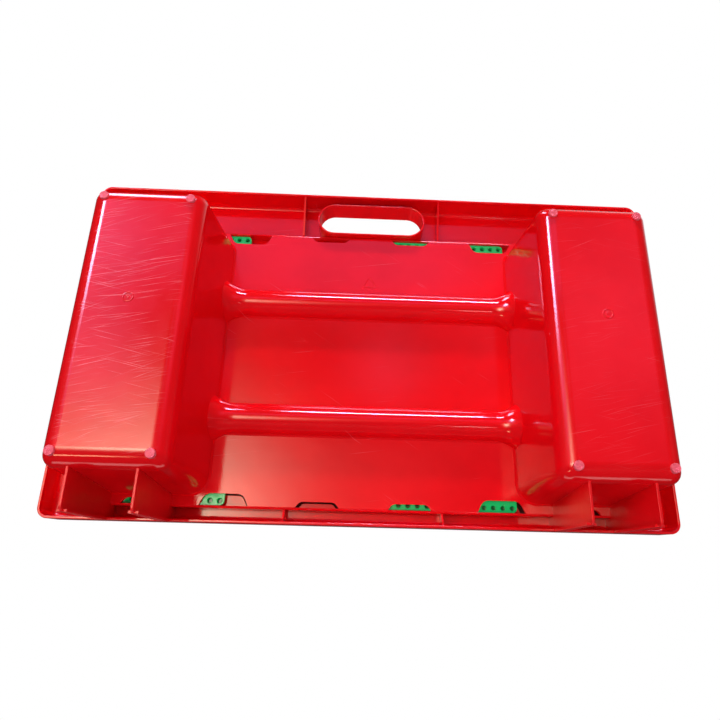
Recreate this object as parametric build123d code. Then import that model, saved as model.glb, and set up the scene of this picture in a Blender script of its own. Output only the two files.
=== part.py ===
from build123d import *
import math
import os

os.makedirs("parts", exist_ok=True)

# ---------------------------------------------------------------- studs
stud_pitch = 8.0
stud_r = 2.4
stud_h = 1.7
stud_bevel = 0.25
dimple_r = 1.9
dimple_depth = 3.7
dimple_bevel = 0.6
plate_cols = 16
plate_rows = 32
plate_t = 3.2
plate_gap = 0.3          # clearance left round each sliding plate
plate_corner_r = 3.5

plate_w = plate_cols * stud_pitch - 2 * plate_gap
plate_d = plate_rows * stud_pitch - 2 * plate_gap

# ---------------------------------------------------------------- heights
foot_h = 1.5
bin_bottom_z = foot_h
foot_r = 3.6
foot_edge_r = 0.5
foot_root = 5.0          # how far a pad runs up into the rounded edge above it
floor_t = 2.5
floor_top_z = 92.0
floor_low_z = floor_top_z - floor_t
plate_z = floor_top_z + 0.2
deck_t = 2.4
deck_low_z = 101.8
deck_top_z = deck_low_z + deck_t
rim_z = 81.2
lip_z = 98.2
lip_t = 2.2

# ---------------------------------------------------------------- plan
tray_w = 522.0
tray_d = 314.0
rim_corner_r = 9.0
rim_flare_deg = 1.5
skirt_t = 2.3
skirt_root_r = 4.0
rim_edge_r = 0.8
deck_edge_r = 1.6

track_y = -14.5          # the plates' centre line, towards the front edge
track_w = 487.0          # the outer ends stop a plate once its bin is covered
track_d = plate_rows * stud_pitch + 0.6
track_wall_t = 1.8
track_corner_r = 3.0
track_edge_r = 2.2       # outer radius under the edges of the track pan

# ---------------------------------------------------------------- bins
wall_t = 2.5
bin_draft = 5.5
bin_x = 182.15
bin_y = track_y + 0.85
bin_flat_w = 64.3
bin_flat_d = 200.9
bin_edge_r = 13.5
bin_top_corner_r = 16.5
root_bevel = 1.5         # bevel where bins and channels meet the floor
foot_dx = 34.5
foot_dy = 103.7
foot_front_shift = 1.6   # the front pads stand a little wider apart

# ---------------------------------------------------------------- channels
channel_y = 54.9
channel_r = 12.9
channel_t = 2.4
flare_start_x = 112.0
flare_r = 26.0
flare_end_x = 134.0

# ---------------------------------------------------------------- windows, lips
lip_pitch = 77.0
long_lip = (40.5, 31.0, 10.0, 7.5)    # width at the wall, at the tip, reach, tip radius
short_lip = (36.5, 29.0, 5.0, 6.0)
lip_gap = (2.0, 0.7)     # a lip is this much smaller than its window, at the sides and the tip
no_gap = (0.0, 0.0)
bin_lip_x = 181.0

# ---------------------------------------------------------------- handle
handle_y = 132.1
handle_w = 103.8
handle_d = 33.4
collar_t = 1.7
collar_z = 84.0
collar_edge_r = 0.6

# ---------------------------------------------------------------- ribs, fins
rib_x = 65.3
rib_t = 1.6
web_edge_r = 0.6         # softened free edges of the fins
fin_xs = (159.4, 208.0)
fin_t = 2.2
fin_low_z = 9.7
fin_corner_r = 4.0
fin_flange_w = 7.0
fin_flange_t = 1.8

# ---------------------------------------------------------------- resting places
plate_right_x = 179.3    # over most of the right-hand bin
plate_left_x = -65.2     # over the left half of the middle


def save(name, shape):
    shape.label = name
    export_step(shape, f"parts/{name}.step")


def slab(width, depth, radius, low_z, high_z, x=0.0, y=0.0):
    outline = RectangleRounded(width, depth, radius)
    return Pos(x, y, low_z) * extrude(outline, high_z - low_z)


def tapered(width, depth, radius, top_z, height, taper, x=0.0, y=0.0):
    """A rounded rectangle drawn at top_z and pulled down with draft."""
    outline = RectangleRounded(width, depth, radius)
    body = extrude(outline, -height, taper=taper)
    return Pos(x, y, top_z) * body


def box_between(x0, x1, y0, y1, z0, z1):
    centre = ((x0 + x1) / 2, (y0 + y1) / 2, (z0 + z1) / 2)
    return Pos(*centre) * Box(x1 - x0, y1 - y0, z1 - z0)


# ---------------------------------------------------------------- tray envelope
rim_height = deck_top_z - rim_z
flare = rim_height * math.tan(math.radians(rim_flare_deg))
envelope = tapered(
    tray_w - 2 * flare,
    tray_d - 2 * flare,
    rim_corner_r - flare,
    deck_top_z,
    rim_height,
    -rim_flare_deg,
)
top_edges = envelope.edges().group_by(Axis.Z)[-1]
envelope = fillet(top_edges, deck_edge_r)

hollow_h = deck_low_z - rim_z
hollow_flare = hollow_h * math.tan(math.radians(rim_flare_deg))
under_rim = tapered(
    tray_w - 2 * skirt_t - 2 * hollow_flare,
    tray_d - 2 * skirt_t - 2 * hollow_flare,
    rim_corner_r - skirt_t - hollow_flare,
    deck_low_z,
    hollow_h,
    -rim_flare_deg,
)
under_rim = fillet(under_rim.edges().group_by(Axis.Z)[-1], skirt_root_r)
under_deck = slab(tray_w, tray_d, rim_corner_r, rim_z - 1, deck_low_z)

# ---------------------------------------------------------------- track pan
pan_w = track_w + 2 * track_wall_t
pan_d = track_d + 2 * track_wall_t
pan_block = box_between(
    -pan_w / 2,
    pan_w / 2,
    track_y - pan_d / 2,
    track_y + pan_d / 2,
    floor_low_z,
    deck_top_z,
)
pan_block = fillet(pan_block.edges().filter_by(Axis.Z), track_corner_r)
pan_block = fillet(pan_block.edges().group_by(Axis.Z)[0], track_edge_r)
track_space = slab(
    track_w,
    track_d,
    track_corner_r - track_wall_t,
    floor_top_z,
    deck_top_z + 1,
    y=track_y,
)


def lip_outline(size, gap):
    """Trapezoid with rounded tip corners, wide side on y = 0."""
    wide, narrow, reach, tip_r = size
    side_gap, tip_gap = gap
    half_wide = wide / 2 - side_gap
    half_narrow = narrow / 2 - side_gap
    tip_y = reach - tip_gap
    points = [
        (-half_wide, 0),
        (half_wide, 0),
        (half_narrow, tip_y),
        (-half_narrow, tip_y),
    ]
    face = make_face(Polyline(*points, close=True))
    tips = [v for v in face.vertices() if v.Y > tip_y - 0.01]
    return fillet(tips, tip_r - side_gap)


def lip_set(low_z, high_z, gap):
    """One prism per lip, by name, along the front and the back of the track."""
    stations = [
        (-bin_lip_x, short_lip),
        (-1.5 * lip_pitch, long_lip),
        (-0.5 * lip_pitch, short_lip),
        (0.5 * lip_pitch, short_lip),
        (1.5 * lip_pitch, long_lip),
        (bin_lip_x, short_lip),
    ]
    prisms = {}
    for number, (x, size) in enumerate(stations, start=1):
        prism = extrude(lip_outline(size, gap), high_z - low_z)
        front = Pos(x, track_y - track_d / 2, low_z)
        back = Pos(x, track_y + track_d / 2, low_z) * Rot(0, 0, 180)
        prisms[f"lip_front_{number}"] = front * prism
        prisms[f"lip_back_{number}"] = back * prism
    return prisms


# ---------------------------------------------------------------- bin shapes
draft_tan = math.tan(math.radians(bin_draft))
edge_reach = bin_edge_r * math.tan(math.radians((90 - bin_draft) / 2))
bin_depth = floor_top_z - bin_bottom_z
bin_top_w = bin_flat_w + 2 * (edge_reach + bin_depth * draft_tan)
bin_top_d = bin_flat_d + 2 * (edge_reach + bin_depth * draft_tan)


def bin_outside(side):
    body = tapered(
        bin_top_w,
        bin_top_d,
        bin_top_corner_r,
        floor_top_z,
        bin_depth,
        bin_draft,
        x=side * bin_x,
        y=bin_y,
    )
    return fillet(body.edges().group_by(Axis.Z)[0], bin_edge_r)


def bin_inside(side):
    depth = bin_depth - wall_t
    body = tapered(
        bin_top_w - 2 * wall_t,
        bin_top_d - 2 * wall_t,
        bin_top_corner_r - wall_t,
        floor_top_z,
        depth,
        bin_draft,
        x=side * bin_x,
        y=bin_y,
    )
    return fillet(body.edges().group_by(Axis.Z)[0], bin_edge_r - wall_t)


# ---------------------------------------------------------------- channel shapes
def flare_profile(gap):
    """Half-length outline of a channel, as radius over distance from the middle."""
    start_r = channel_r - gap
    bend = flare_r + gap
    drop = flare_end_x - flare_start_x
    bend_centre_r = start_r + bend
    if drop >= bend:
        end_x, end_r = flare_start_x + bend, bend_centre_r
    else:
        end_x = flare_end_x
        end_r = bend_centre_r - math.sqrt(bend**2 - drop**2)
    turn = math.asin((end_x - flare_start_x) / bend) / 2
    mid = (
        flare_start_x + bend * math.sin(turn),
        bend_centre_r - bend * math.cos(turn),
    )
    return start_r, (end_x, end_r), mid


def flare_face(gap):
    start_r, end, mid = flare_profile(gap)
    right = ThreePointArc((flare_start_x, start_r), mid, end)
    left = ThreePointArc(
        (-end[0], end[1]), (-mid[0], mid[1]), (-flare_start_x, start_r)
    )
    lines = [
        Line((-end[0], 0), (-end[0], end[1])),
        left,
        Line((-flare_start_x, start_r), (flare_start_x, start_r)),
        right,
        Line(end, (end[0], 0)),
        Line((end[0], 0), (-end[0], 0)),
    ]
    return make_face(lines)


def channel_body(row, gap):
    body = revolve(flare_face(gap), Axis.X, 360)
    lower = body & box_between(-150, 150, -40, 40, -40, 0)
    return Pos(0, track_y + row * channel_y, floor_low_z) * lower


def channel_slot(row):
    """The open top of a channel, cut straight up through the floor."""
    half = flare_face(channel_t)
    outline = half + mirror(half, Plane.XZ)
    slot = extrude(outline, floor_t + 1)
    return Pos(0, track_y + row * channel_y, floor_low_z) * slot


def bin_root(side):
    """Bevelled collar round a bin, just under the floor."""
    reach = root_bevel - floor_t * draft_tan
    collar = tapered(
        bin_top_w + 2 * reach,
        bin_top_d + 2 * reach,
        bin_top_corner_r + reach,
        floor_low_z,
        root_bevel,
        45,
        x=side * bin_x,
        y=bin_y,
    )
    for row in (-1, 1):
        collar -= channel_body(row, 0.0)
    return collar


def channel_root(row, edge):
    """Bevelled strip along one edge of a channel, just under the floor."""
    corners = [(0, -root_bevel), (root_bevel, 0), (-root_bevel, 0)]
    section = make_face(Polyline(*corners, close=True))
    length = flare_start_x + flare_r / 4
    strip = extrude(Plane.YZ * section, length, both=True)
    y = track_y + row * channel_y + edge * channel_r
    return Pos(0, y, floor_low_z) * strip


bins_outside = {side: bin_outside(side) for side in (-1, 1)}
bin_roots = {side: bin_root(side) for side in (-1, 1)}
bins_inside = {side: bin_inside(side) for side in (-1, 1)}
channel_hollows = {row: channel_body(row, channel_t) for row in (-1, 1)}
channel_slots = {row: channel_slot(row) for row in (-1, 1)}

# ---------------------------------------------------------------- floor, track wall
pan = pan_block - track_space
floor_cut = box_between(-300, 300, -200, 200, floor_low_z - 1, floor_top_z)
floor = pan & floor_cut
floor -= list(bins_outside.values())
floor -= list(channel_slots.values())
windows = lip_set(floor_low_z - 1, floor_top_z + 1, no_gap)
floor -= list(windows.values())
floor_parts = floor.solids().sort_by(SortBy.VOLUME)
save("floor_middle", floor_parts[0])
save("floor", floor_parts[-1])

save("track_wall", pan - floor_cut)
for name, lip in lip_set(lip_z, lip_z + lip_t, lip_gap).items():
    save(name, lip)

# ---------------------------------------------------------------- deck and skirt
grip = SlotOverall(handle_w - 2 * collar_t, handle_d - 2 * collar_t)
grip_hole = Pos(0, handle_y, rim_z - 5) * extrude(grip, 40)
deck = envelope - under_deck - pan_block - grip_hole
save("deck", deck)

skirt = (envelope & under_deck) - under_rim - pan_block
skirt = fillet(skirt.edges().group_by(Axis.Z)[0], rim_edge_r)
save("skirt", skirt)

collar_outline = SlotOverall(handle_w, handle_d) - grip
collar = Pos(0, handle_y, collar_z) * extrude(collar_outline, deck_low_z - collar_z)
collar -= pan_block
collar = fillet(collar.edges().group_by(Axis.Z)[0], collar_edge_r)
save("handle_collar", collar)

# ---------------------------------------------------------------- bins
bin_names = {-1: "bin_left", 1: "bin_right"}
for side, name in bin_names.items():
    shell = bins_outside[side] + bin_roots[side] - bins_inside[side]
    shell -= list(channel_hollows.values())
    shell -= list(channel_slots.values())
    save(name, shell)

# ---------------------------------------------------------------- channels
channel_names = {-1: "channel_front", 1: "channel_back"}
for row, name in channel_names.items():
    body = channel_body(row, 0.0)
    body += [channel_root(row, edge) for edge in (-1, 1)]
    body -= channel_hollows[row]
    body -= list(bins_outside.values())
    save(name, body)


# ---------------------------------------------------------------- ribs
def rib(x, y_wall, y_skirt):
    """Triangular web between the track wall and the skirt."""
    points = [
        (y_wall, floor_low_z),
        (y_skirt, rim_z + 0.4),
        (y_skirt, deck_low_z),
        (y_wall, deck_low_z),
    ]
    face = make_face(Plane.YZ * Polyline(*points, close=True))
    body = extrude(face, rib_t / 2, both=True)
    return (Pos(x, 0, 0) * body) & under_rim


rib_rows = {"back": 1, "front": -1}
for row_name, row in rib_rows.items():
    for side_name, side in (("left", -1), ("right", 1)):
        web = rib(side * rib_x, track_y + row * pan_d / 2, row * tray_d / 2)
        web -= pan_block
        save(f"rib_{row_name}_{side_name}", web)


# ---------------------------------------------------------------- stand fins
def fin(x, side):
    front_y = -tray_d / 2
    web = box_between(
        x - fin_t / 2, x + fin_t / 2, front_y, bin_y, fin_low_z, deck_low_z
    )
    tip = [e for e in web.edges().filter_by(Axis.X) if e.center().Y < front_y + 1]
    tip = [e for e in tip if e.center().Z < fin_low_z + 1]
    web = fillet(tip, fin_corner_r)
    outline = [e for e in web.edges() if abs(e.center().X - x) > fin_t / 4]
    free = [e for e in outline if e.center().Z < fin_low_z + fin_corner_r]
    free += [e for e in outline if e.center().Y < front_y + 0.01]
    web = fillet(free, web_edge_r)
    flange = box_between(
        x - fin_flange_w / 2,
        x + fin_flange_w / 2,
        front_y,
        front_y + fin_flange_t,
        fin_low_z + fin_corner_r,
        rim_z,
    )
    below = box_between(-300, 300, -200, 200, 0, rim_z)
    free_part = (web & below) + flange
    inner_part = (web - below) & under_rim
    whole = free_part + inner_part
    whole -= bins_outside[side]
    whole -= bin_roots[side]
    whole -= pan_block
    solids = whole.solids().sort_by(Axis.Y)
    return solids[0]


for side_name, side in (("left", -1), ("right", 1)):
    for place, x in (("inner", fin_xs[0]), ("outer", fin_xs[1])):
        save(f"fin_{side_name}_{place}", fin(side * x, side))

# ---------------------------------------------------------------- foot pads
for side_name, side in (("left", -1), ("right", 1)):
    for row_name, row in (("front", -1), ("back", 1)):
        for place, sign in (("inner", -1), ("outer", 1)):
            x = side * (bin_x + sign * foot_dx)
            if row_name == "front":
                x += side * foot_front_shift
            y = bin_y + row * foot_dy
            pad = Pos(x, y, 0) * extrude(Circle(foot_r), foot_h + foot_root)
            pad -= bins_outside[side]
            pad = pad.solids().sort_by(Axis.Z)[0]
            low = pad.edges().group_by(Axis.Z)[0]
            save(f"foot_{side_name}_{row_name}_{place}", fillet(low, foot_edge_r))


# ---------------------------------------------------------------- sliding plates
def studded_plate():
    base = slab(plate_w, plate_d, plate_corner_r, 0, plate_t)
    grid = GridLocations(stud_pitch, stud_pitch, plate_cols, plate_rows)
    dots = Sketch() + [loc * Circle(dimple_r) for loc in grid]
    studs = Sketch() + [loc * Circle(stud_r) for loc in grid]
    body = base - extrude(dots, dimple_depth)
    body += Pos(0, 0, plate_t) * extrude(studs, stud_h)
    rings = body.edges().filter_by(GeomType.CIRCLE).group_by(Axis.Z)
    mouths = [e for e in rings[0] if e.radius < stud_r]
    body = chamfer(mouths, dimple_bevel)
    tops = body.edges().filter_by(GeomType.CIRCLE).group_by(Axis.Z)[-1]
    return chamfer(tops, stud_bevel)


plate = studded_plate()
save("plate_right", Pos(plate_right_x, track_y, plate_z) * plate)
save("plate_left", Pos(plate_left_x, track_y, plate_z) * plate)
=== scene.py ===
import math

import bmesh
import bpy
from mathutils import Matrix, Vector


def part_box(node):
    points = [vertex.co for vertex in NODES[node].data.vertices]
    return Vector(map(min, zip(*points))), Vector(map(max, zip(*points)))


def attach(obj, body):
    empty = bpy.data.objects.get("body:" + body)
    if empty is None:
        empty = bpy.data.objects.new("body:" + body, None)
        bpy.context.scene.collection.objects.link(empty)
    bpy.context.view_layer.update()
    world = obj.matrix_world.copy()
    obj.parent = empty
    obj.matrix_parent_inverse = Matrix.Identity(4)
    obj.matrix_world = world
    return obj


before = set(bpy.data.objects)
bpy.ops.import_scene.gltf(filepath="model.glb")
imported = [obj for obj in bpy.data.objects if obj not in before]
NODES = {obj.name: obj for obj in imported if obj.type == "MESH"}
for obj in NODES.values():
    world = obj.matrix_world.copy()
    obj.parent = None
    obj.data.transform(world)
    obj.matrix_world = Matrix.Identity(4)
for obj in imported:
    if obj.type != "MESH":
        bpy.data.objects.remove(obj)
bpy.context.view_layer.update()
SCENE = bpy.context.scene

# ------------------------------------------------------------------ camera
CAMERA_AT = Vector((0.0069, -0.1903, -0.3960))
CAMERA_LOOK = Vector((-0.0248, 0.3266, 0.9448)).normalized()
CAMERA_UP = Vector((0.0326, 0.9449, -0.3258))
CAMERA_LENS_MM = 28.68
CAMERA_SENSOR_MM = 36.0
CAMERA_SHIFT = (-0.0190, 0.0169)

# ------------------------------------------------------------------ colours
TRAY_RED = (0.82, 0.0025, 0.007)
TRAY_RED_DEEP = (0.72, 0.0015, 0.005)
SCUFF_PINK = (0.93, 0.30, 0.36)
FOOT_PINK = (0.80, 0.085, 0.15)
PLATE_GREEN = (0.005, 0.66, 0.17)
PLATE_GREEN_DEEP = (0.003, 0.55, 0.13)
# Painted shade colour for the hollows behind the plates' studs.
PLATE_GREEN_PAINTED_SHADE = (0.001, 0.14, 0.04)
FLOOR_PALE = (0.86, 0.86, 0.86)
# Painted shade colour of the dark sheet seen through the window gaps.
SHADE_DARK = (0.02, 0.012, 0.012)
PAPER_WHITE = (1.0, 1.0, 1.0)
AIR_TINT = (1.0, 0.97, 0.98)
AIR_STRENGTH = 0.20

# ------------------------------------------------------------------ finish
GLOSS_ROUGH = 0.07
SATIN_ROUGH = 0.32
BIN_ROUGH = 0.08
PLATE_ROUGH = 0.14
STAGE_ROUGH = 0.9
SCRATCH_STRETCH = (14, 1500, 1)             # long along a stroke, very thin across it
HAIR_LINES = ((8, 3), (-34, 5))             # angle in degrees, seed
BIN_SCRATCH_ANGLES = (12, 18, 25, -13, 7, 15)
BIN_RIGHT_WEAR = 1.0
BIN_LEFT_WEAR = 0.25
BIN_BOTTOM_Z = 0.0015

# ------------------------------------------------------------------ stage and light
FLOOR_REACH = 30
FLOOR_SIDES = 96
FLOOR_GLOW_FROM_TO = (0.3, 1.6)             # the floor fades from shaded to plain between these
FLOOR_GLOW_SHARES = (0.5, 1.0)
SHADE_LIFT = 0.0005
LIT_POINT = Vector((0, 0, 0.05))

# ------------------------------------------------------------------ moulding marks
RIDGE_STEPS = 90
RIDGE_ARC_STEPS = 6
MARK_ROOT = 0.00003      # how far a mark's edges reach into the surface
GATE_X = 0.1837
GATE_Y = 0.0013
GATE_RIDGES = ((0.0037, 0.0007, 0.00040), (0.0008, 0.0007, 0.00035))
TRIANGLE_Y = 0.0655
TRIANGLE_INSIDE_R = 0.0037
TRIANGLE_TIP_R = 0.0062
TRIANGLE_LINE = 0.0009
TRIANGLE_RISE = 0.0003


# ------------------------------------------------------------------ node helpers
class Graph:
    """Short calls for building a material's nodes."""

    def __init__(self, name):
        self.material = bpy.data.materials.new(name)
        self.material.use_nodes = True
        self.nodes = self.material.node_tree.nodes
        self.links = self.material.node_tree.links
        self.shader = self.nodes["Principled BSDF"]
        self.output = self.nodes["Material Output"]
        coordinates = self.nodes.new("ShaderNodeTexCoord")
        self.place = coordinates.outputs["Object"]

    def feed(self, socket, value):
        if isinstance(value, bpy.types.NodeSocket):
            self.links.new(value, socket)
        else:
            socket.default_value = value

    def maths(self, operation, a, b=0.0, clamp=False):
        node = self.nodes.new("ShaderNodeMath")
        node.operation = operation
        node.use_clamp = clamp
        self.feed(node.inputs[0], a)
        self.feed(node.inputs[1], b)
        return node.outputs[0]

    def turned(self, angle_deg, scale, shift=(0, 0, 0)):
        """The object's coordinates, turned about Z, then scaled."""
        turn = self.nodes.new("ShaderNodeMapping")
        turn.inputs["Rotation"].default_value = (0, 0, math.radians(angle_deg))
        turn.inputs["Location"].default_value = shift
        self.feed(turn.inputs["Vector"], self.place)
        stretch = self.nodes.new("ShaderNodeMapping")
        stretch.inputs["Scale"].default_value = scale
        self.feed(stretch.inputs["Vector"], turn.outputs[0])
        return stretch.outputs[0]

    def noise(self, scale, detail=2.0, rough=0.5, vector=None, distortion=0.0):
        node = self.nodes.new("ShaderNodeTexNoise")
        node.inputs["Scale"].default_value = scale
        node.inputs["Detail"].default_value = detail
        node.inputs["Roughness"].default_value = rough
        node.inputs["Distortion"].default_value = distortion
        self.feed(node.inputs["Vector"], vector or self.place)
        return node.outputs["Fac"]

    def ramp(self, value, low, high, out_low=0.0, out_high=1.0):
        node = self.nodes.new("ShaderNodeMapRange")
        node.interpolation_type = "SMOOTHSTEP"
        self.feed(node.inputs["Value"], value)
        node.inputs["From Min"].default_value = low
        node.inputs["From Max"].default_value = high
        node.inputs["To Min"].default_value = out_low
        node.inputs["To Max"].default_value = out_high
        return node.outputs["Result"]

    def mix(self, share, a, b):
        node = self.nodes.new("ShaderNodeMix")
        node.data_type = "RGBA"
        self.feed(node.inputs["Factor"], share)
        self.feed(node.inputs["A"], a)
        self.feed(node.inputs["B"], b)
        return node.outputs["Result"]

    def bump(self, height, distance, strength=1.0, below=None):
        node = self.nodes.new("ShaderNodeBump")
        node.inputs["Strength"].default_value = strength
        node.inputs["Distance"].default_value = distance
        self.feed(node.inputs["Height"], height)
        if below:
            self.feed(node.inputs["Normal"], below)
        return node.outputs["Normal"]

    def facing_down(self):
        """1 on faces that look down, 0 on the rest."""
        face = self.nodes.new("ShaderNodeNewGeometry")
        parts = self.nodes.new("ShaderNodeSeparateXYZ")
        self.feed(parts.inputs[0], face.outputs["Normal"])
        return self.maths("LESS_THAN", parts.outputs["Z"], -0.5)

    def separate(self):
        node = self.nodes.new("ShaderNodeSeparateXYZ")
        self.feed(node.inputs[0], self.place)
        return node.outputs["X"], node.outputs["Y"], node.outputs["Z"]


class Sky(Graph):
    """The same short calls, for the world's nodes."""

    def __init__(self, world):
        self.nodes = world.node_tree.nodes
        self.links = world.node_tree.links
        self.place = self.nodes.new("ShaderNodeTexCoord").outputs["Generated"]
        self.x, self.y, self.z = self.separate()
        self.path = self.nodes.new("ShaderNodeLightPath")
        self.nodes.remove(self.nodes["Background"])

    def spot(self, direction, spread):
        """1 towards a direction, falling away over the spread in radians."""
        node = self.nodes.new("ShaderNodeVectorMath")
        node.operation = "DOT_PRODUCT"
        self.feed(node.inputs[0], self.place)
        node.inputs[1].default_value = Vector(direction).normalized()
        facing = self.maths("MAXIMUM", node.outputs["Value"], 0.0)
        return self.maths("POWER", facing, 2 / spread**2)

    def both(self, a, b):
        return self.maths("MULTIPLY", a, b)

    def band(self, value, low, high, soft):
        """1 between low and high, with soft edges."""
        rising = self.ramp(value, low - soft, low + soft)
        return self.both(rising, self.ramp(value, high + soft, high - soft))

    def add_glows(self, glows, base):
        """Adds (share, colour) pairs to a base colour."""
        total = solid(base)
        for share, colour in glows:
            node = self.nodes.new("ShaderNodeMix")
            node.data_type = "RGBA"
            node.blend_type = "ADD"
            self.feed(node.inputs["Factor"], share)
            self.feed(node.inputs["A"], total)
            self.feed(node.inputs["B"], solid(colour))
            total = node.outputs["Result"]
        return total

    def background(self, colour, strength):
        node = self.nodes.new("ShaderNodeBackground")
        self.feed(node.inputs["Color"], colour)
        node.inputs["Strength"].default_value = strength
        return node.outputs[0]

    def choose(self, ray_kind, other, this):
        """One shader for rays of a kind, the other for the rest."""
        node = self.nodes.new("ShaderNodeMixShader")
        self.links.new(self.path.outputs[ray_kind], node.inputs["Fac"])
        self.links.new(other, node.inputs[1])
        self.links.new(this, node.inputs[2])
        return node.outputs[0]

    def show(self, shader):
        self.links.new(shader, self.nodes["World Output"].inputs["Surface"])


def solid(colour):
    return (*colour, 1.0)


def scratch_layer(g, angle, seed, level, soft):
    """Long thin streaks at one angle, broken up into separate strokes; a lower level draws more."""
    along = g.turned(angle, SCRATCH_STRETCH, shift=(seed * 0.37, seed * 0.21, 0))
    streak = g.noise(1.0, detail=1.0, vector=along, distortion=0.3)
    line = g.ramp(streak, level, level + soft)
    patch = g.noise(22, detail=2, vector=g.turned(angle, (1, 1, 1), (seed, seed, 0)))
    return g.maths("MULTIPLY", line, g.ramp(patch, 0.45, 0.65))


def strongest(g, values):
    """The largest of several values at each point."""
    most = values[0]
    for value in values[1:]:
        most = g.maths("MAXIMUM", most, value)
    return most


def moulded_gloss(g, colour, deep, gloss, haze):
    """The look all the moulded parts share: flow marks, faint ripple, smudged gloss."""
    cloud = g.noise(9, detail=4, rough=0.6)
    tint = g.mix(g.ramp(cloud, 0.35, 0.7), solid(colour), solid(deep))
    smudge = g.noise(34, detail=5, rough=0.65)
    rough = g.ramp(smudge, 0.35, 0.75, gloss, gloss + haze)
    ripple = g.bump(g.noise(70, detail=2), 0.00025, 0.25)
    grain = g.bump(g.noise(1600, detail=1), 0.00002, 0.35, below=ripple)
    return tint, rough, grain


def tray_material(name, gloss):
    """The tray's red plastic with a few hair-fine scratches."""
    g = Graph(name)
    tint, rough, normal = moulded_gloss(g, TRAY_RED, TRAY_RED_DEEP, gloss, 0.05)
    hair = [scratch_layer(g, angle, seed, 0.74, 0.03) for angle, seed in HAIR_LINES]
    marks = g.maths("MULTIPLY", strongest(g, hair), 0.28)
    g.feed(g.shader.inputs["Base Color"], g.mix(marks, tint, solid(SCUFF_PINK)))
    g.feed(g.shader.inputs["Roughness"], g.maths("ADD", rough, g.maths("MULTIPLY", marks, 0.5)))
    g.feed(g.shader.inputs["Normal"], normal)
    return g.material


def bin_material(name, wear, seed):
    """The tray's plastic with a scuffed and scratched bottom."""
    g = Graph(name)
    tint, rough, normal = moulded_gloss(g, TRAY_RED, TRAY_RED_DEEP, BIN_ROUGH, 0.05)
    _, _, z = g.separate()
    bottom = g.ramp(z, BIN_BOTTOM_Z + 0.0015, BIN_BOTTOM_Z + 0.0001)
    strokes = [
        scratch_layer(g, angle, seed + number, 0.70 - 0.04 * wear, 0.05)
        for number, angle in enumerate(BIN_SCRATCH_ANGLES)
    ]
    marks = g.maths("MULTIPLY", strongest(g, strokes), bottom)
    marks = g.maths("MULTIPLY", marks, 0.08 + 0.30 * wear)
    haze = g.ramp(g.noise(14, detail=5, rough=0.7), 0.35, 0.75, 0.0, 0.03 * wear)
    haze = g.maths("MULTIPLY", haze, bottom)
    share = g.maths("MAXIMUM", marks, haze)
    g.feed(g.shader.inputs["Base Color"], g.mix(share, tint, solid(SCUFF_PINK)))
    worn = g.maths("MULTIPLY", share, 0.55)
    g.feed(g.shader.inputs["Roughness"], g.maths("ADD", rough, worn))
    cut = g.bump(g.maths("SUBTRACT", 1.0, marks), 0.00004, 0.5, below=normal)
    g.feed(g.shader.inputs["Normal"], cut)
    return g.material


def foot_material():
    """A fine pitted texture, paler than the tray."""
    g = Graph("foot_spark_texture")
    dots = g.nodes.new("ShaderNodeTexVoronoi")
    dots.inputs["Scale"].default_value = 900
    g.feed(dots.inputs["Vector"], g.place)
    pits = g.ramp(dots.outputs["Distance"], 0.15, 0.6)
    tint = g.mix(g.noise(500, detail=3), solid(TRAY_RED), solid(SCUFF_PINK))
    speckle = g.mix(g.maths("MULTIPLY", pits, 0.5), solid(FOOT_PINK), tint)
    g.feed(g.shader.inputs["Base Color"], speckle)
    g.feed(g.shader.inputs["Normal"], g.bump(pits, 0.0003, 0.8))
    g.feed(g.shader.inputs["Roughness"], g.ramp(pits, 0, 1, 0.35, 0.5))
    return g.material


def plate_material():
    """Green plastic, with painted shade making it dark in the hollows behind the studs."""
    g = Graph("plate_gloss_green")
    tint, rough, normal = moulded_gloss(g, PLATE_GREEN, PLATE_GREEN_DEEP, PLATE_ROUGH, 0.08)
    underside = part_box("plate_left")[0].z
    _, _, z = g.separate()
    # Painted shade: downward faces set back above the underside turn near-black green, as if the
    # hollows were in shadow.
    raised = g.ramp(z, underside + 0.0005, underside + 0.0020)
    hollow_shade = g.maths("MULTIPLY", raised, g.facing_down())
    g.feed(g.shader.inputs["Base Color"], g.mix(hollow_shade, tint, solid(PLATE_GREEN_PAINTED_SHADE)))
    g.feed(g.shader.inputs["Roughness"], rough)
    g.feed(g.shader.inputs["Normal"], normal)
    return g.material


def dress(names, material):
    for name in names:
        mesh = NODES[name].data
        mesh.materials.clear()
        mesh.materials.append(material)


# ------------------------------------------------------------------ raised marks
def add_ridge(bm, centre, reach_at, half_width, height):
    """A low rounded ridge hanging below the centre, reach_at(turn) away from it."""
    rows = []
    for step in range(RIDGE_STEPS):
        turn = math.tau * step / RIDGE_STEPS
        row = []
        for arc_step in range(RIDGE_ARC_STEPS + 1):
            arc = math.pi * arc_step / RIDGE_ARC_STEPS
            out = reach_at(turn) - half_width * math.cos(arc)
            drop = height * math.sin(arc) - MARK_ROOT
            point = (out * math.sin(turn), out * math.cos(turn), -drop)
            row.append(bm.verts.new(centre + Vector(point)))
        rows.append(row)
    for here, there in zip(rows, rows[1:] + rows[:1]):
        for step in range(RIDGE_ARC_STEPS):
            bm.faces.new((here[step], there[step], there[step + 1], here[step + 1]))


def finish_mark(name, bm, material):
    """Turns a drawn mark into a smooth piece that rides on the tray."""
    bmesh.ops.recalc_face_normals(bm, faces=bm.faces)
    mesh = bpy.data.meshes.new(name)
    bm.to_mesh(mesh)
    bm.free()
    for face in mesh.polygons:
        face.use_smooth = True
    mark = bpy.data.objects.new(name, mesh)
    SCENE.collection.objects.link(mark)
    mesh.materials.append(material)
    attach(mark, "tray")


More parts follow.
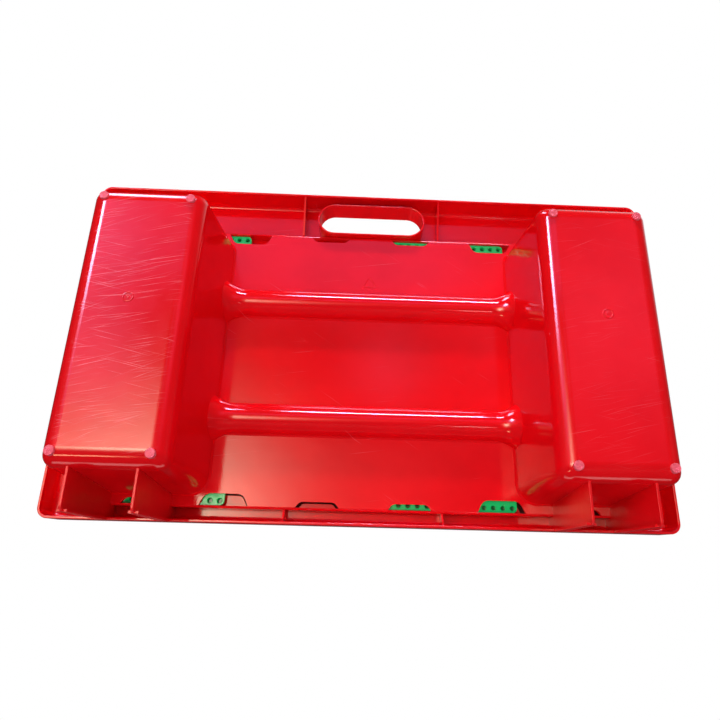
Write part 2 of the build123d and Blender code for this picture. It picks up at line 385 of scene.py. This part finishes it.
def gate_mark(name, side, material):
    """Where the plastic was fed in: a low ring with a nub in the middle."""
    bm = bmesh.new()
    centre = Vector((side * GATE_X, GATE_Y, BIN_BOTTOM_Z))
    for radius, half_width, height in GATE_RIDGES:
        add_ridge(bm, centre, lambda turn: radius, half_width, height)
    finish_mark(name, bm, material)


def triangle_reach(turn):
    """From the middle of a triangle, point up, to its outline; its tips are cut round."""
    from_side = turn % (math.tau / 3) - math.pi / 3
    return min(TRIANGLE_INSIDE_R / math.cos(from_side), TRIANGLE_TIP_R)


def triangle_mark(name, material):
    """The plain triangle under the middle of the floor."""
    bm = bmesh.new()
    under_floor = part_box("floor_middle")[0].z
    centre = Vector((0, TRIANGLE_Y, under_floor))
    add_ridge(bm, centre, triangle_reach, TRIANGLE_LINE / 2, TRIANGLE_RISE)
    finish_mark(name, bm, material)


# ------------------------------------------------------------------ stage
def one_way(material, shader_socket):
    """Makes a sheet that shows only from its front side."""
    nodes, links = material.node_tree.nodes, material.node_tree.links
    side = nodes.new("ShaderNodeNewGeometry")
    clear = nodes.new("ShaderNodeBsdfTransparent")
    pick = nodes.new("ShaderNodeMixShader")
    links.new(side.outputs["Backfacing"], pick.inputs["Fac"])
    links.new(shader_socket, pick.inputs[1])
    links.new(clear.outputs[0], pick.inputs[2])
    links.new(pick.outputs[0], nodes["Material Output"].inputs["Surface"])


def stage_sheet(name, outline, material):
    """A flat sheet; it faces up where the outline runs anticlockwise."""
    mesh = bpy.data.meshes.new(name)
    mesh.from_pydata(outline, [], [list(range(len(outline)))])
    sheet = bpy.data.objects.new(name, mesh)
    SCENE.collection.objects.link(sheet)
    mesh.materials.append(material)
    sheet.visible_shadow = False
    sheet.visible_diffuse = False
    sheet.visible_glossy = False


def make_floor():
    """A pale floor that takes soft shadows near the object and turns plain further out."""
    g = Graph("floor_pale")
    x, y, _ = g.separate()
    out = g.maths("SQRT", g.maths("ADD", g.maths("MULTIPLY", x, x), g.maths("MULTIPLY", y, y)))
    g.feed(g.shader.inputs["Base Color"], solid(FLOOR_PALE))
    g.shader.inputs["Roughness"].default_value = STAGE_ROUGH
    glow = g.nodes.new("ShaderNodeEmission")
    blend = g.nodes.new("ShaderNodeMixShader")
    g.feed(blend.inputs["Fac"], g.ramp(out, *FLOOR_GLOW_FROM_TO, *FLOOR_GLOW_SHARES))
    g.links.new(g.shader.outputs[0], blend.inputs[1])
    g.links.new(glow.outputs[0], blend.inputs[2])
    one_way(g.material, blend.outputs[0])
    turns = [math.tau * step / FLOOR_SIDES for step in range(FLOOR_SIDES)]
    outline = [(FLOOR_REACH * math.cos(turn), FLOOR_REACH * math.sin(turn), 0) for turn in turns]
    stage_sheet("stage_floor", outline, g.material)


def make_shade():
    """A near-black sheet over the track, showing only from below: painted shade for the window
    gaps, standing in for the shaded table top that a tray lying face down covers with its track.
    """
    g = Graph("table_in_shade")
    # Painted shade: the sheet's near-black colour makes the window gaps look shaded.
    g.shader.inputs["Base Color"].default_value = solid(SHADE_DARK)
    g.shader.inputs["Roughness"].default_value = STAGE_ROUGH
    one_way(g.material, g.shader.outputs[0])
    low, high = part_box("track_wall")
    z = high.z + SHADE_LIFT
    corners = [(low.x, low.y, z), (low.x, high.y, z), (high.x, high.y, z), (high.x, low.y, z)]
    stage_sheet("stage_table_shade", corners, g.material)


# ------------------------------------------------------------------ light
def lamp(name, direction, distance, size, glow, colour=(1, 1, 1)):
    """A soft box of a given brightness that lights the object but isn't mirrored in it."""
    data = bpy.data.lights.new(name, "AREA")
    data.shape = "RECTANGLE"
    data.size, data.size_y = size
    data.energy = glow * math.pi * size[0] * size[1]
    data.color = colour
    light = bpy.data.objects.new(name, data)
    away = Vector(direction).normalized()
    side = (Vector((1, 0, 0)) - away * away.x).normalized()
    turn = Matrix((side, away.cross(side), away)).transposed()
    light.matrix_world = Matrix.Translation(away * distance + LIT_POINT) @ turn.to_4x4()
    light.visible_camera = False
    light.visible_glossy = False
    SCENE.collection.objects.link(light)


def make_lamps():
    """Soft boxes below light the underside, and two above light the top."""
    lamp("key_below", (0.33, 0.05, -0.94), 2.2, (1.0, 1.0), 3.8, (1.0, 0.94, 0.92))
    lamp("fill_below", (0.10, 0.45, -0.86), 2.4, (2.0, 2.0), 0.65)
    lamp("fill_far", (0.02, 0.96, -0.27), 1.6, (0.40, 0.10), 150)
    lamp("fill_right", (0.80, 0.15, -0.60), 2.0, (1.0, 1.0), 1.7)
    lamp("fill_left", (-0.96, -0.05, -0.26), 2.0, (1.0, 1.0), 1.6)
    lamp("fill_near", (-0.12, -0.66, -0.70), 2.0, (1.8, 0.8), 3.0)
    lamp("key_above", (0.35, -0.45, 0.82), 2.2, (1.2, 1.2), 6)
    lamp("soft_above", (-0.7, 0.35, 0.75), 2.4, (2.0, 1.4), 3)


def make_room():
    """Plain white behind the object, even light from all round, and a room to mirror."""
    world = bpy.data.worlds.new("room")
    SCENE.world = world
    world.use_nodes = True
    g = Sky(world)
    far_wall = g.both(g.band(g.y, 0.435, 0.56, 0.035), g.ramp(g.x, -0.30, -0.08))
    side_wall = g.both(g.band(g.x, 0.355, 0.64, 0.05), g.ramp(g.y, 0.15, 0.30))
    near_wall = g.both(g.band(g.y, 0.02, 0.20, 0.06), g.ramp(g.x, -0.24, 0.02))
    side_window = g.both(g.band(g.x, 0.50, 0.68, 0.04), g.ramp(g.y, 0.34, 0.52))
    far_window = g.both(g.band(g.y, 0.86, 0.91, 0.01), g.band(g.x, -0.24, 0.12, 0.02))
    far_line = g.both(g.band(g.y, 0.88, 0.96, 0.01), g.band(g.x, 0.27, 0.46, 0.02))
    near_line = g.both(g.band(g.y, -0.67, -0.60, 0.02), g.band(g.x, 0.37, 0.50, 0.02))
    near_table = g.both(g.ramp(g.y, -0.84, -0.88), g.band(g.z, 0.0, 0.28, 0.06))
    below = g.ramp(g.z, 0.0, -0.15)
    horizon = g.band(g.z, -0.30, 0.10, 0.05)
    low = g.ramp(g.z, -0.25, -0.38)
    # The walls and the side window keep low, so that upright faces don't mirror them.
    lowest = g.both(g.ramp(g.z, -0.53, -0.62), g.ramp(g.y, 0.62, 0.56))
    glows = [
        (g.spot((0.33, 0.03, -0.94), 0.164), (12.0, 14.0, 10.0)),
        (g.spot((-0.05, 0.33, -0.94), 0.06), (0.30, 0.30, 0.55)),
        (g.both(g.spot((0.60, 0.42, -0.68), 0.15), lowest), (3.0, 2.2, 3.6)),
        (g.spot((-0.20, -0.32, -0.92), 0.03), (14.0, 14.0, 14.0)),
        (g.both(far_wall, lowest), (0.60, 0.34, 0.90)),
        (g.both(side_wall, lowest), (0.80, 0.50, 1.20)),
        (g.both(near_wall, lowest), (2.2, 0.28, 0.27)),
        (g.both(side_window, lowest), (30.0, 30.0, 46.0)),
        (g.both(far_window, low), (60.0, 42.0, 66.0)),
        (g.both(far_line, horizon), (12.0, 12.0, 17.0)),
        (g.both(near_line, low), (12.0, 9.0, 5.0)),
        (g.spot((-0.42, 0.40, -0.82), 0.20), (2.2, 0.26, 0.55)),
        (near_table, (2.0, 1.8, 1.8)),
        (below, (0.06, 0.04, 0.05)),
        (g.spot((-0.55, 0.65, 0.45), 0.35), (1.2, 1.2, 1.25)),
    ]
    room = g.add_glows(glows, (0.03, 0.03, 0.03))
    air = g.background(solid(AIR_TINT), AIR_STRENGTH)
    mirrored = g.choose("Is Glossy Ray", air, g.background(room, 1.0))
    paper = g.background(solid(PAPER_WHITE), 1.0)
    g.show(g.choose("Is Camera Ray", mirrored, paper))


def make_camera():
    """Low in front of the tray, looking up at its underside."""
    data = bpy.data.cameras.new("camera")
    data.lens = CAMERA_LENS_MM
    data.sensor_width = CAMERA_SENSOR_MM
    data.shift_x, data.shift_y = CAMERA_SHIFT
    data.clip_start = 0.01
    data.clip_end = 60
    camera = bpy.data.objects.new("camera", data)
    SCENE.collection.objects.link(camera)
    right = CAMERA_LOOK.cross(CAMERA_UP).normalized()
    up = right.cross(CAMERA_LOOK)
    turn = Matrix((right, up, -CAMERA_LOOK)).transposed()
    camera.matrix_world = Matrix.Translation(CAMERA_AT) @ turn.to_4x4()
    SCENE.camera = camera


SCENE.view_settings.view_transform = "Standard"
make_camera()
make_lamps()
make_room()
make_floor()
make_shade()

bins = ["bin_left", "bin_right"]
plates = ["plate_left", "plate_right"]
feet = [name for name in NODES if name.startswith("foot_")]
fins = [name for name in NODES if name.startswith("fin_")]
rest = [name for name in NODES if name not in bins + plates + feet + fins]
tray_look = tray_material("tray_gloss_red", GLOSS_ROUGH)
fin_look = tray_material("tray_satin_red", SATIN_ROUGH)
bin_right_look = bin_material("bin_scuffed", BIN_RIGHT_WEAR, 11)
bin_left_look = bin_material("bin_lightly_scuffed", BIN_LEFT_WEAR, 47)
dress(rest, tray_look)
dress(fins, fin_look)
dress(["bin_right"], bin_right_look)
dress(["bin_left"], bin_left_look)
gate_mark("gate_mark_right", 1, bin_right_look)
gate_mark("gate_mark_left", -1, bin_left_look)
triangle_mark("triangle_mark", tray_look)
dress(feet, foot_material())
dress(plates, plate_material())
